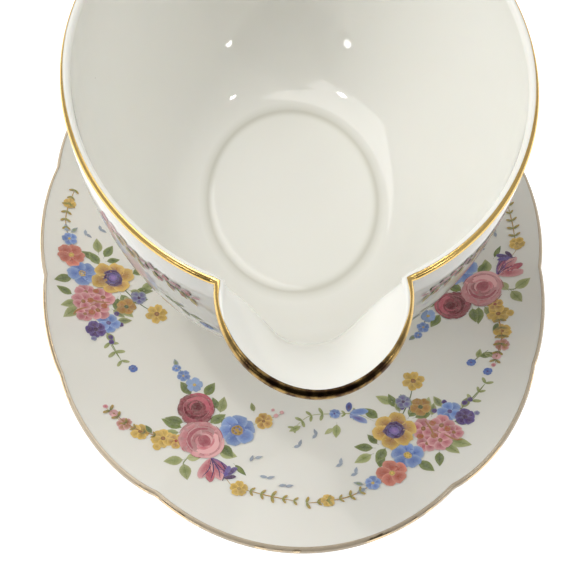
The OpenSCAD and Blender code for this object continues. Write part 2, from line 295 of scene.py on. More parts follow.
def raised(tree, shader, height, strength, depth):
    """A bump that feeds the shader's normal."""
    bump = tree.nodes.new("ShaderNodeBump")
    bump.inputs["Strength"].default_value = strength
    bump.inputs["Distance"].default_value = depth
    tree.links.new(height, bump.inputs["Height"])
    tree.links.new(bump.outputs["Normal"], shader.inputs["Normal"])


def carried(tree, name, output="Fac"):
    """A value that the piece's mesh carries under a name."""
    made = tree.nodes.new("ShaderNodeAttribute")
    made.attribute_name = name
    return made.outputs[output]


def kiln_group():
    """Clouding, pinholes and ripple that every glazed piece has, with its own amounts."""
    tree = bpy.data.node_groups.new("kiln_glaze", "ShaderNodeTree")
    socket = tree.interface.new_socket
    for label in ("Clay", "Shade"):
        socket(label, in_out="INPUT", socket_type="NodeSocketColor")
    for label in ("Cloud Scale", "Gloss"):
        socket(label, in_out="INPUT", socket_type="NodeSocketFloat")
    socket("Color", in_out="OUTPUT", socket_type="NodeSocketColor")
    for label in ("Roughness", "Height"):
        socket(label, in_out="OUTPUT", socket_type="NodeSocketFloat")
    n, link = tree.nodes, tree.links.new
    given, out = n.new("NodeGroupInput"), n.new("NodeGroupOutput")
    cloud = noise(tree, None, 3.0)
    link(given.outputs["Cloud Scale"], cloud.inputs["Scale"])
    tone = mixed(tree, cloud.outputs["Fac"], given.outputs["Clay"], given.outputs["Shade"])
    # Pinholes: one cell in many holds a dark speck a third of a millimetre across.
    pinhole, pinhole_size, pinhole_share, pinhole_depth = (0.22, 0.19, 0.16), 0.028, 0.035, 0.7
    place, cell = n.new("ShaderNodeTexCoord"), n.new("ShaderNodeTexVoronoi")
    cell.inputs["Scale"].default_value = 150.0
    link(place.outputs["Object"], cell.inputs["Vector"])
    split = n.new("ShaderNodeSeparateColor")
    link(cell.outputs["Color"], split.inputs["Color"])
    near = maths(tree, "LESS_THAN", cell.outputs["Distance"], pinhole_size)
    rare = maths(tree, "LESS_THAN", split.outputs["Red"], pinhole_share)
    speck = maths(tree, "MULTIPLY", maths(tree, "MULTIPLY", near, rare), pinhole_depth)
    link(mixed(tree, speck, tone, pinhole), out.inputs["Color"])
    # Roughness drifts a little where the glaze ran thicker or thinner.
    drift = maths(tree, "MULTIPLY_ADD", cloud.outputs["Fac"], 0.04, given.outputs["Gloss"])
    link(drift, out.inputs["Roughness"])
    link(noise(tree, 260.0, 2.0).outputs["Fac"], out.inputs["Height"])
    return tree


KILN = kiln_group()


def china_glaze(name, clay, shade, cloud_scale, gloss, glaze_pool_and_shade=None):
    """Glazed bone china: warm white clay under a clear, hard, faintly rippled glaze."""
    made, tree, shader = new_finish(name)
    kiln = tree.nodes.new("ShaderNodeGroup")
    kiln.node_tree = KILN
    for label, value in (("Clay", clay), ("Shade", shade), ("Cloud Scale", cloud_scale), ("Gloss", gloss)):
        feed(tree, kiln.inputs[label], value)
    colour = kiln.outputs["Color"]
    if glaze_pool_and_shade is not None:  # painted shade along the cove, where the glaze also ran together and stayed thicker and greyer
        colour = mixed(tree, carried(tree, "glaze_pool_and_shade"), colour, glaze_pool_and_shade)
    tree.links.new(colour, shader.inputs["Base Color"])
    tree.links.new(kiln.outputs["Roughness"], shader.inputs["Roughness"])
    raised(tree, shader, kiln.outputs["Height"], 0.05, 0.0003)
    shader.inputs["IOR"].default_value = 1.5
    shader.inputs["Subsurface Weight"].default_value = 0.12
    shader.inputs["Subsurface Radius"].default_value = (0.004, 0.003, 0.002)
    shader.inputs["Subsurface Scale"].default_value = 0.5
    return made


def settle(piece, body, slot, *nodes):
    """Puts a finished piece under its CAD body and hides the solids it stands for; the slot is not used."""
    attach(piece, body)
    if nodes:
        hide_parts(*nodes)


around_plate = np.linspace(0, 2 * np.pi, PLATE_POINTS, endpoint=False)


def foot_oval(grow, z):
    x = (PLATE_FOOT_INSIDE[0] / 2 + grow) * np.sin(around_plate)
    y = -(PLATE_FOOT_INSIDE[1] / 2 + grow) * np.cos(around_plate)
    under = plate_height_at(x, y) - PLATE_CLAY if z is None else z + 0 * x
    return np.stack([x, y, under], -1)


plate_rings = [plate_top(around_plate, r + 0 * around_plate) for r in np.linspace(0.05, 0.995, 70)]
plate_rings += [plate_edge(around_plate, t) for t in np.linspace(0, 1, 11)]
plate_rings += [plate_under(around_plate, r + 0 * around_plate) for r in np.linspace(0.98, 0.64, 22)]
plate_rings += [foot_oval(PLATE_FOOT_WIDTH + 1.0, None)]
plate_rings += [foot_oval(PLATE_FOOT_WIDTH + g, z) for g, z in ((0.1, 2.0), (0, 0.5), (-0.4, 0.0))]
plate_rings += [foot_oval(g, z) for g, z in ((0.4, 0.0), (0, 0.5), (-0.1, 2.0))]
plate_rings += [foot_oval(-0.8, WELL_Z - PLATE_CLAY), foot_oval(-20, WELL_Z - PLATE_CLAY)]
underplate = clay_piece(
    "underplate_china",
    np.array(plate_rings),
    poles=[(0, 0, WELL_Z), (0, 0, WELL_Z - PLATE_CLAY)],
)
PLATE_GLAZE = china_glaze("underplate_glaze", (0.83, 0.82, 0.765), (0.80, 0.785, 0.725), 14.0, 0.05)
underplate.data.materials.append(PLATE_GLAZE)
settle(underplate, "underplate", "underplate_china", "underplate")

# ======== Underplate gilding ========
# A thin line of burnished liquid gold, banded round the plate's edge with a brush
# on a wheel. Years of use have rubbed it, most along the line's two borders.
GILT = 0.12


def worn_gold(name, gold, wear, brush_scale):
    """Burnished gold that is rubbed through to the glaze, most along its two borders."""
    made, tree, shader = new_finish(name)
    border_wear, grain_wear = 0.22, 0.25
    bare_glaze, reflection_dark_brown = (0.56, 0.47, 0.35), (0.035, 0.014, 0.010)
    rub = noise(tree, 45.0, 6.0).outputs["Fac"]
    grain = noise(tree, brush_scale, 3.0).outputs["Fac"]
    rubbed = maths(tree, "MULTIPLY_ADD", carried(tree, "border"), border_wear, rub)
    rubbed = maths(tree, "MULTIPLY_ADD", grain, grain_wear, rubbed)
    through = spread(tree, rubbed, 1.02 - wear, 1.14 - wear, curve="SMOOTHSTEP")
    tint = mixed(tree, grain, gold, (gold[0] * 0.86, gold[1] * 0.78, gold[2] * 0.7))
    bare = mixed(tree, through, tint, bare_glaze)
    # Painted dark reflection: over the spout the gold is darkened nearly to black in streaks, standing in
    # for the dark room it mirrors there.
    streaks = spread(tree, grain, 0.62, 0.44, 0.62, 1.0)
    painted_reflection = maths(tree, "MULTIPLY", carried(tree, "painted_dark_reflection"), streaks)
    tree.links.new(mixed(tree, painted_reflection, bare, reflection_dark_brown), shader.inputs["Base Color"])
    tree.links.new(spread(tree, through, 0.0, 1.0, 1.0, 0.25), shader.inputs["Metallic"])
    tree.links.new(spread(tree, rubbed, 0.0, 1.0, 0.13, 0.30), shader.inputs["Roughness"])
    raised(tree, shader, grain, 0.12, 0.0001)
    return made


def mark(piece, name, values):
    """Writes a value on each point of a piece, which its finish reads by name."""
    piece.data.attributes.new(name, "FLOAT", "POINT").data.foreach_set("value", values)


def gold_band(name, gold_rings, clay_rings, rubbed=0.0):
    """A thin closed shell of gold on the clay, with how near each point is to its borders."""
    both = np.concatenate([gold_rings, clay_rings[::-1]])
    piece = clay_piece(name, both, loop=True)
    rows, turns = gold_rings.shape[:2]
    edge = np.abs(np.linspace(-1, 1, rows)) ** 2
    border = (np.concatenate([edge, edge[::-1]])[:, None] + rubbed * np.ones(turns)).ravel()
    mark(piece, "border", border)
    return piece


edge_turns = np.linspace(0.0, 0.75, 12)
underplate_gilding = gold_band(
    "underplate_edge_gilding",
    np.array([plate_edge(around_plate, t, GILT) for t in edge_turns]),
    np.array([plate_edge(around_plate, t) for t in edge_turns]),
)
underplate_gilding.data.materials.append(worn_gold("rubbed_gold", (0.74, 0.60, 0.40), 0.46, 420.0))
settle(underplate_gilding, "underplate", "underplate_gold", "underplate_gilt_edge")

# ======== Boat bowl ========
# A deep oval bowl of slip-cast bone china. Its wall is drawn out in front into a
# broad, rounded pouring spout, and a soft cove runs where the wall meets the floor.
RIM_WIDTH, RIM_LENGTH, RIM_HEIGHT, BOAT_BACK = 116.0, 146.4, 80.4, 2.5
WALL, LIP, FLOOR = 2.8, 2.4, 3.0
SPOUT_WIDTH, SPOUT_REACH, SPOUT_DROP = 41.2, 25.2, 2.8
SPOUT_START, SPOUT_TURN, SPOUT_CHANNEL = 0.34, 3.6, 0.8
SHOULDER_TURN, SHOULDER_POWER = 24.0, 4
FOOT_TOP = (50.0, 67.6)
FOOT_Z = WELL_Z + 0.1
BOWL_Z = FOOT_Z + 13.5
LIP_Z = RIM_HEIGHT - LIP / 2
SIDE_POWER, SIDE_FULLNESS = 2.0, 0.5
SPOUT_HALF = np.arcsin(SPOUT_WIDTH / RIM_WIDTH)
SPOUT_CORNER_Y = BOAT_BACK - RIM_LENGTH / 2 * np.cos(SPOUT_HALF)


def oval_point(angle, u):
    """The plain oval of the bowl a share u of the way up, before the spout swells out."""
    g = (1 - (1 - u) ** SIDE_POWER) ** SIDE_FULLNESS
    x = (FOOT_TOP[0] + (RIM_WIDTH - FOOT_TOP[0]) * g) / 2 * np.sin(angle)
    y = BOAT_BACK - (FOOT_TOP[1] + (RIM_LENGTH - FOOT_TOP[1]) * g) / 2 * np.cos(angle)
    return np.stack([x, y], -1)


def outside(angle, u):
    """Points of the bowl's outside, in millimetres; angle 0 is the spout."""
    angle, u = np.broadcast_arrays(np.asarray(angle, float), np.asarray(u, float))
    b = (angle + np.pi) % (2 * np.pi) - np.pi
    near = np.abs(b) < SPOUT_HALF
    s = np.pi / 2 * b / SPOUT_HALF
    tip = np.stack([SPOUT_WIDTH / 2 * np.sin(s), SPOUT_CORNER_Y - (SPOUT_REACH - LIP / 3) * np.cos(s)], -1)
    shift = np.where(near[..., None], tip - oval_point(b, np.ones_like(u)), 0)
    beside = np.abs(b) / SPOUT_HALF / SPOUT_CHANNEL
    turn = SPOUT_TURN + SHOULDER_TURN * np.minimum(1, beside**SHOULDER_POWER)
    swell = np.maximum(0, (u - SPOUT_START) / (1 - SPOUT_START)) ** turn
    level = LIP_Z - np.where(near, (SPOUT_DROP + LIP / 2) * np.cos(s), 0)
    plan = oval_point(b, u) + shift * swell[..., None]
    return np.concatenate([plan, (BOWL_Z + (level - BOWL_Z) * u)[..., None]], -1)


def unit(v):
    return v / np.linalg.norm(v, axis=-1, keepdims=True)


def up_line(angle, u):
    return unit(outside(angle, np.minimum(1, u + 0.004)) - outside(angle, np.maximum(0, u - 0.004)))


def outward(angle, u):
    step = np.radians(0.5)
    return unit(np.cross(outside(angle + step, u) - outside(angle - step, u), up_line(angle, u)))


def inside(angle, u):
    clay = WALL + (LIP - WALL) * u
    return outside(angle, u) - outward(angle, u) * np.asarray(clay)[..., None]


def lip(angle, t, grow=0.0):
    """Points over the rounded lip, from the outside at t = 0 to the inside at t = 1."""
    one = np.ones_like(angle)
    n, up = outward(angle, one), up_line(angle, one)
    over = n * np.cos(np.pi * t) + up * np.sin(np.pi * t)
    return outside(angle, one) - n * LIP / 2 + over * (LIP / 2 + grow)


spout_angles = np.linspace(-SPOUT_HALF, SPOUT_HALF, 97)[:-1]
rim_angles = np.linspace(SPOUT_HALF, 2 * np.pi - SPOUT_HALF, 289)[:-1]
around_boat = np.concatenate([spout_angles, rim_angles])
FLOOR_Z = BOWL_Z + FLOOR
COVE_DEPTH, COVE_WIDTH = 0.16, 2.6


def floor_gap(share):
    """How far a ring of the floor is from the foot of the wall."""
    return (1 - share) * FOOT_TOP[0] / 2


def floor_ring(share):
    """A ring of the floor. A shallow cove runs just inside the foot of the wall."""
    edge = oval_point(around_boat, np.zeros_like(around_boat))
    middle = np.array([0, BOAT_BACK])
    plan = middle + (edge - middle) * share
    dip = COVE_DEPTH * np.exp(-((floor_gap(share) / (COVE_WIDTH / 2)) ** 2))
    return np.concatenate([plan, np.full((len(plan), 1), FLOOR_Z - dip)], -1)


up_shares = (1 - np.cos(np.pi * np.arange(1, 72) / 72)) / 2
inner_shares = up_shares[up_shares > 0.004]
one = np.ones_like(around_boat)
FLOOR_SHARES = (0.2, 0.4, 0.6, 0.75, 0.85, 0.9, 0.92, 0.935, 0.95, 0.96, 0.97, 0.98, 0.99, 1.0)
bowl_rings = [floor_ring(s) for s in FLOOR_SHARES]
cove_top = inside(around_boat, inner_shares[0] * one)
bowl_rings += [bowl_rings[-1] * (1 - t) + cove_top * t for t in (0.25, 0.6)]
bowl_rings += [inside(around_boat, u * one) for u in inner_shares]
bowl_rings += [lip(around_boat, t) for t in np.linspace(1, 0, 15)]
bowl_rings += [outside(around_boat, u * one) for u in up_shares[::-1]]
bowl_rings += [outside(around_boat, 0 * one)]
boat_bowl = clay_piece(
    "boat_bowl_china",
    np.array(bowl_rings),
    poles=[(0, BOAT_BACK, FLOOR_Z), (0, BOAT_BACK, BOWL_Z)],
)
# A ring of painted shade where the wall meets the floor, also standing for glaze that pooled there: how
# much of the darker grey each ring of the bowl takes.
POOL_AND_SHADE_PLACE, POOL_AND_SHADE_WIDTH = 0.1, 1.1
floor_glaze_pools_and_shade = [np.exp(-(((floor_gap(s) - POOL_AND_SHADE_PLACE) / POOL_AND_SHADE_WIDTH) ** 2)) for s in FLOOR_SHARES]
glaze_pools_and_shade = floor_glaze_pools_and_shade + [0.55, 0.22] + [0.0] * (len(bowl_rings) - len(floor_glaze_pools_and_shade) - 2)
glaze_pool_and_shade_values = np.concatenate([np.repeat(glaze_pools_and_shade, len(around_boat)), [0, 0]])
mark(boat_bowl, "glaze_pool_and_shade", glaze_pool_and_shade_values)
BOAT_GLAZE = china_glaze(
    "boat_glaze", (0.84, 0.835, 0.785), (0.81, 0.805, 0.75), 18.0, 0.025, glaze_pool_and_shade=(0.64, 0.63, 0.56)
)
boat_bowl.data.materials.append(BOAT_GLAZE)
settle(boat_bowl, "boat", "boat_china", "boat_bowl")

# ======== Boat foot ========
# A low spreading oval foot, cast apart from the bowl and luted on with slip. It
# is hollow below and stands on a narrow ground flat.
FOOT_HEIGHT, FOOT_SPREAD, FOOT_WAIST, FOOT_WALL, FOOT_TREAD, FOOT_TOE = 13.5, 3.6, 1.0, 3.0, 2.4, 1.2
around_foot = np.linspace(0, 2 * np.pi, 240, endpoint=False)


def foot_ring(grow, z):
    x = (FOOT_TOP[0] / 2 + grow) * np.sin(around_foot)
    y = BOAT_BACK - (FOOT_TOP[1] / 2 + grow) * np.cos(around_foot)
    return np.stack([x, y, z + 0 * x], -1)


def foot_side(t):
    return -FOOT_WAIST * np.sin(np.pi * min(1, 1.4 * t)) + FOOT_SPREAD * t**3


foot_drop = FOOT_HEIGHT - FOOT_TOE
tread_out = FOOT_SPREAD - FOOT_TOE / 2
foot_rings = [foot_ring(foot_side(t), BOWL_Z - foot_drop * t) for t in np.linspace(0, 1, 25)]
foot_rings += [
    foot_ring(FOOT_SPREAD - FOOT_TOE / 2 * (1 - np.cos(t)), FOOT_Z + FOOT_TOE * (1 - np.sin(t)))
    for t in np.linspace(0.3, np.pi / 2, 6)
]
foot_rings += [foot_ring(tread_out - FOOT_TREAD, FOOT_Z)]
foot_rings += [foot_ring(foot_side(t) - FOOT_WALL, BOWL_Z - foot_drop * t) for t in np.linspace(1, 0, 17)]
boat_foot = clay_piece("boat_foot_china", np.array(foot_rings), loop=True)
SHADED_CLAY, SHADED_TONE = (0.83, 0.815, 0.745), (0.79, 0.77, 0.69)
boat_foot.data.materials.append(china_glaze("foot_glaze", SHADED_CLAY, SHADED_TONE, 26.0, 0.07))
settle(boat_foot, "boat", "boat_china", "boat_foot")

# ======== Boat handle ========
# An ear-shaped loop, pressed in a two-part mould and luted to the back of the
# bowl, wider where it springs from the wall.
HANDLE_TOP_Z, HANDLE_LOW_Z = RIM_HEIGHT - 11.0, WELL_Z + 36.0
HANDLE_REACH, HANDLE_RISE, HANDLE_WIDTH, HANDLE_DEPTH, HANDLE_FLARE = 37.0, 17.0, 8.4, 6.4, 5.0
LOOP_BACK = (0.27, 0.55, 0.84, 0.97, 0.88, 0.6, 0.25)
LOOP_UP = (0.38, 0.95, 0.95, 0.22, -0.32, -0.67, -0.88)


def back_face(x, z):
    """The bowl's outside at its back, at a distance x from the middle and a height z."""
    u = (z - BOWL_Z) / (LIP_Z - BOWL_Z)
    side = oval_point(np.pi / 2, u)[..., 0]
    back = oval_point(np.pi, u)[..., 1]
    return BOAT_BACK + (back - BOAT_BACK) * np.sqrt(1 - (x / side) ** 2)


def loop_height(s):
    return HANDLE_TOP_Z + (s * HANDLE_RISE if s > 0 else s * (HANDLE_TOP_Z - HANDLE_LOW_Z))


rim_back_y = BOAT_BACK + RIM_LENGTH / 2
handle_knots = [(back_face(0, HANDLE_TOP_Z), HANDLE_TOP_Z)]
handle_knots += [(rim_back_y + b * HANDLE_REACH, loop_height(s)) for b, s in zip(LOOP_BACK, LOOP_UP)]
handle_knots += [(back_face(0, HANDLE_LOW_Z), HANDLE_LOW_Z)]
handle_knots = np.array(handle_knots, float)


def run_on(line):
    """The line with one more point beyond each of its ends."""
    return np.vstack([2 * line[0] - line[1], line, 2 * line[-1] - line[-2]])


def between(a, b, c, d, f):
    """A smooth way from b to c, a share f of it done, with a before them and d after."""
    return b + 0.5 * f * (c - a + f * (2 * a - 5 * b + 4 * c - d + f * (3 * (b - c) + d - a)))


def handle_line(t):
    """The middle of the loop in its own plane, from the upper root to the lower one."""
    n = len(handle_knots) - 1
    k = min(int(t * n), n - 1)
    return between(*run_on(handle_knots)[k : k + 4], t * n - k)


def handle_ring(t, turns, grow=0.0):
    p = handle_line(t)
    d = unit(handle_line(min(1, t + 0.01)) - handle_line(max(0, t - 0.01)))
    flare = HANDLE_FLARE * abs(2 * t - 1) ** 7
    w, h = (HANDLE_WIDTH + flare) / 2 + grow, (HANDLE_DEPTH + flare * 0.7) / 2 + grow
    side, out = w * np.sin(turns), h * np.cos(turns)
    return np.stack([side, p[0] + d[1] * out, p[1] - d[0] * out], -1)


handle_turns = np.linspace(0, 2 * np.pi, 48, endpoint=False)


def root_ring(t):
    ring = handle_ring(t, handle_turns)
    ring[:, 1] = back_face(ring[:, 0], ring[:, 2])
    return ring


handle_rings = [handle_ring(t, handle_turns) for t in np.linspace(0, 1, 121)[2:-2]]
handle_rings = [root_ring(0)] + handle_rings + [root_ring(1)]
boat_handle = clay_piece(
    "boat_handle_china",
    np.array(handle_rings),
    poles=[
        (0, back_face(0, HANDLE_TOP_Z), HANDLE_TOP_Z),
        (0, back_face(0, HANDLE_LOW_Z), HANDLE_LOW_Z),
    ],
)
boat_handle.data.materials.append(china_glaze("handle_glaze", SHADED_CLAY, SHADED_TONE, 26.0, 0.07))
settle(boat_handle, "boat", "boat_china", "boat_handle")

# ======== Boat gilding ========
# Two lines of burnished gold laid on with a brush: one over the outer half of the rim,
# which widens over the spout's lip, and one down the back of the handle's loop.
rim_angle = (around_boat + np.pi) % (2 * np.pi) - np.pi


def eased(value, start, end):
    """A smooth step from 0 at start to 1 at end."""
    t = np.clip((value - start) / (end - start), 0, 1)
    return t * t * (3 - 2 * t)


from_spout = np.abs(rim_angle)
onto_spout = eased(from_spout, 1.12 * SPOUT_HALF, 0.67 * SPOUT_HALF)
gilt_from = 0.07 + 0.22 * onto_spout
gilt_to = 0.33 + 0.13 * eased(from_spout, 1.7, 1.1) + 0.42 * onto_spout
RIM_GILT_STEPS = 12
RIM_GILT_TURNS = [
    (gilt_from + (gilt_to - gilt_from) * k / RIM_GILT_STEPS)[:, None] for k in range(RIM_GILT_STEPS + 1)
]
boat_rim_gilding = gold_band(
    "boat_rim_gilding",
    np.array([lip(around_boat, t, GILT) for t in RIM_GILT_TURNS]),
    np.array([lip(around_boat, t) for t in RIM_GILT_TURNS]),
    rubbed=1.15 * eased(from_spout, 1.1, 2.0),
)
# Painted dark reflection on the rim gold, strongest over the spout's lip.
painted_reflection_share = 0.97 * eased(from_spout, 1.04 * SPOUT_HALF, 0.46 * SPOUT_HALF)
rim_painted_reflection = np.tile(painted_reflection_share, 2 * len(RIM_GILT_TURNS))
mark(boat_rim_gilding, "painted_dark_reflection", rim_painted_reflection)
boat_rim_gilding.data.materials.append(worn_gold("burnished_gold", (0.84, 0.60, 0.22), 0.0, 300.0))
settle(boat_rim_gilding, "boat", "boat_gold", "boat_gilt_rim")

GILT_ACROSS, GILT_ALONG = 9, 90
handle_gilt_turns = np.linspace(-0.24, 0.24, GILT_ACROSS) * np.pi + np.pi
handle_places = np.linspace(3 / 26, 23 / 26, GILT_ALONG)
handle_over = np.array([handle_ring(t, handle_gilt_turns, GILT) for t in handle_places])
handle_on = np.array([handle_ring(t, handle_gilt_turns) for t in handle_places])
handle_band = np.concatenate([handle_over, handle_on[:, ::-1]], axis=1)
handle_gilding = clay_piece(
    "handle_line_gilding",
    handle_band,
    poles=[handle_band[0].mean(0), handle_band[-1].mean(0)],
)
handle_edge = np.abs(np.linspace(-1, 1, GILT_ACROSS)) ** 2
handle_border = np.tile(np.concatenate([handle_edge, handle_edge[::-1]]), GILT_ALONG)
handle_border = np.concatenate([handle_border, [1, 1]])
mark(handle_gilding, "border", handle_border)
handle_gilding.data.materials.append(worn_gold("handle_gold", (0.84, 0.59, 0.21), 0.10, 300.0))
settle(handle_gilding, "boat", "boat_gold", "handle_gilt_line")

# ======== Flower transfers on the underplate ========
# Printed ceramic transfers in soft enamel colours, slid on wet and fired onto the
# glaze: three sprays of roses and three of pansies by turns, with thin vines and two
# small sprigs between them.
TRANSFER_LIFT, LAYER_LIFT = 0.035, 0.0035
PETAL_RINGS, RIM_PRINT = (0.55, 0.86, 1.0), 0.86
BLADE_EDGE, BLADE_GAP, BLADE_WIDTH = 10, 1.35, 0.42
WINE, ROSE, BLUSH = (0.17, 0.015, 0.032), (0.47, 0.105, 0.145), (0.74, 0.40, 0.41)
SKY, CORNFLOWER = (0.30, 0.42, 0.68), (0.10, 0.18, 0.50)
VIOLET, PLUM = (0.13, 0.09, 0.32), (0.07, 0.025, 0.11)
SUN, OCHRE, RUST, BRICK = (0.76, 0.52, 0.12), (0.50, 0.31, 0.07), (0.40, 0.18, 0.06), (0.46, 0.09, 0.06)
BARE, THIN_PRINT = (0.74, 0.70, 0.62), (0.80, 0.77, 0.68)
LEAF, MOSS, PALE_LEAF, MIST = (0.22, 0.27, 0.08), (0.10, 0.14, 0.05), (0.44, 0.46, 0.22), (0.33, 0.38, 0.46)


def enamel_paint():
    """Fired print: the colour laid on each petal, broken by a fine grain and thin spots."""
    made, tree, shader = new_finish("transfer_enamel")
    grain, wash = noise(tree, 2600.0, 2.0).outputs["Fac"], noise(tree, 620.0, 3.0).outputs["Fac"]
    thin = spread(tree, maths(tree, "MULTIPLY", grain, wash), 0.12, 0.42, 0.0, 0.16)
    paint = mixed(tree, thin, carried(tree, "enamel", "Color"), THIN_PRINT)
    tree.links.new(paint, shader.inputs["Base Color"])
    tree.links.new(spread(tree, wash, 0.0, 1.0, 0.16, 0.30), shader.inputs["Roughness"])
    raised(tree, shader, grain, 0.08, 0.00005)
    return made


ENAMEL = enamel_paint()


def vine_tree():
    """Sets pairs of small leaves along a stem line, each turned out from the stem."""
    tree = bpy.data.node_groups.new("trailing_vine", "GeometryNodeTree")
    tree.is_modifier = True
    socket = tree.interface.new_socket
    socket("Stem line", in_out="INPUT", socket_type="NodeSocketGeometry")
    for label in ("Leaf gap", "Leaf length", "Leaf width"):
        socket(label, in_out="INPUT", socket_type="NodeSocketFloat")
    socket("Seed", in_out="INPUT", socket_type="NodeSocketInt")
    socket("Leaves", in_out="OUTPUT", socket_type="NodeSocketGeometry")
    n, link = tree.nodes, tree.links.new
    given, result = n.new("NodeGroupInput"), n.new("NodeGroupOutput")
    stem = n.new("GeometryNodeMeshToCurve")
    link(given.outputs["Stem line"], stem.inputs["Mesh"])
    spaced = n.new("GeometryNodeResampleCurve")
    spaced.mode = "LENGTH"
    link(stem.outputs["Curve"], spaced.inputs["Curve"])
    link(given.outputs["Leaf gap"], spaced.inputs["Length"])
    blade = n.new("GeometryNodeMeshCircle")
    blade.fill_type = "TRIANGLE_FAN"
    blade.inputs["Vertices"].default_value = BLADE_EDGE
    blade.inputs["Radius"].default_value = 0.5
    proportion = n.new("ShaderNodeCombineXYZ")
    proportion.inputs["X"].default_value = 1.0
    proportion.inputs["Z"].default_value = 1.0
    link(given.outputs["Leaf width"], proportion.inputs["Y"])
    shaped = n.new("GeometryNodeTransform")
    shaped.inputs["Translation"].default_value = (0.5, 0, 0)
    link(blade.outputs["Mesh"], shaped.inputs["Geometry"])
    link(proportion.outputs["Vector"], shaped.inputs["Scale"])
    spot, along = n.new("GeometryNodeInputPosition"), n.new("ShaderNodeSeparateXYZ")
    link(spot.outputs["Position"], along.inputs["Vector"])
    tip = n.new("GeometryNodeStoreNamedAttribute")
    tip.data_type, tip.domain = "FLOAT", "POINT"
    tip.inputs["Name"].default_value = "tip"
    link(shaped.outputs["Geometry"], tip.inputs["Geometry"])
    link(along.outputs["X"], next(i for i in tip.inputs if i.name == "Value" and i.enabled))
    way = n.new("GeometryNodeInputTangent")
    facing = n.new("FunctionNodeAlignRotationToVector")
    facing.axis, facing.pivot_axis = "X", "Z"
    link(way.outputs["Tangent"], facing.inputs["Vector"])
    joined = n.new("GeometryNodeJoinGeometry")
    for side in (-1, 1):
        swing, size = (n.new("FunctionNodeRandomValue") for _ in range(2))
        for draw, low, high in ((swing, 0.7, 1.2), (size, 0.75, 1.15)):
            draw.data_type = "FLOAT"
            draw.inputs[2].default_value, draw.inputs[3].default_value = low, high
            link(given.outputs["Seed"], draw.inputs["Seed"])
        yaw = n.new("ShaderNodeCombineXYZ")
        link(maths(tree, "MULTIPLY", swing.outputs[1], side), yaw.inputs["Z"])
        euler = n.new("FunctionNodeEulerToRotation")
        link(yaw.outputs["Vector"], euler.inputs["Euler"])
        turned_out = n.new("FunctionNodeRotateRotation")
        turned_out.rotation_space = "LOCAL"
        link(facing.outputs["Rotation"], turned_out.inputs["Rotation"])
        link(euler.outputs["Rotation"], turned_out.inputs["Rotate By"])
        long = maths(tree, "MULTIPLY", size.outputs[1], given.outputs["Leaf length"])
        set_on = n.new("GeometryNodeInstanceOnPoints")
        link(spaced.outputs["Curve"], set_on.inputs["Points"])
        link(tip.outputs["Geometry"], set_on.inputs["Instance"])
        link(turned_out.outputs["Rotation"], set_on.inputs["Rotation"])
        link(long, set_on.inputs["Scale"])
        link(set_on.outputs["Instances"], joined.inputs["Geometry"])
    real = n.new("GeometryNodeRealizeInstances")
    link(joined.outputs["Geometry"], real.inputs["Geometry"])
    painted = n.new("GeometryNodeSetMaterial")
    painted.inputs["Material"].default_value = ENAMEL
    link(real.outputs["Geometry"], painted.inputs["Geometry"])
    link(painted.outputs["Geometry"], result.inputs["Leaves"])
    return tree


VINE = vine_tree()


def grown_leaves(line, gap, length, width, seed):
    """Runs the vine tree on one stem: the points, faces and tip shares of its leaves."""
    mesh = bpy.data.meshes.new("stem_line")
    mesh.from_pydata([(x, y, 0) for x, y in line], [(k, k + 1) for k in range(len(line) - 1)], [])
    stem = bpy.data.objects.new("stem_line", mesh)
    bpy.context.scene.collection.objects.link(stem)
    grower = stem.modifiers.new("vine", "NODES")
    grower.node_group = VINE
    sizes = {"Leaf gap": gap, "Leaf length": length, "Leaf width": width, "Seed": seed}
    for item in VINE.interface.items_tree:
        if item.name in sizes:
            grower[item.identifier] = sizes[item.name]
    graph = bpy.context.evaluated_depsgraph_get()
    leaves = bpy.data.meshes.new_from_object(stem.evaluated_get(graph), depsgraph=graph)
    points = [np.array(v.co[:2]) for v in leaves.vertices]
    tips = [value.value for value in leaves.attributes["tip"].data]
    faces = [tuple(f.vertices) if f.normal.z > 0 else tuple(f.vertices)[::-1] for f in leaves.polygons]
    bpy.data.objects.remove(stem)
    bpy.data.meshes.remove(leaves)
    return points, faces, tips


def heading(angle):
    return np.array([np.cos(angle), np.sin(angle)])


def curved(line):
    """A smooth line through the given points."""
    t = np.linspace(0, len(line) - 1, 6 * (len(line) - 1) + 1)
    wide = run_on(line)
    k = np.minimum(t.astype(int), len(line) - 2)
    return between(*(wide[k + m] for m in range(4)), (t - k)[:, None])


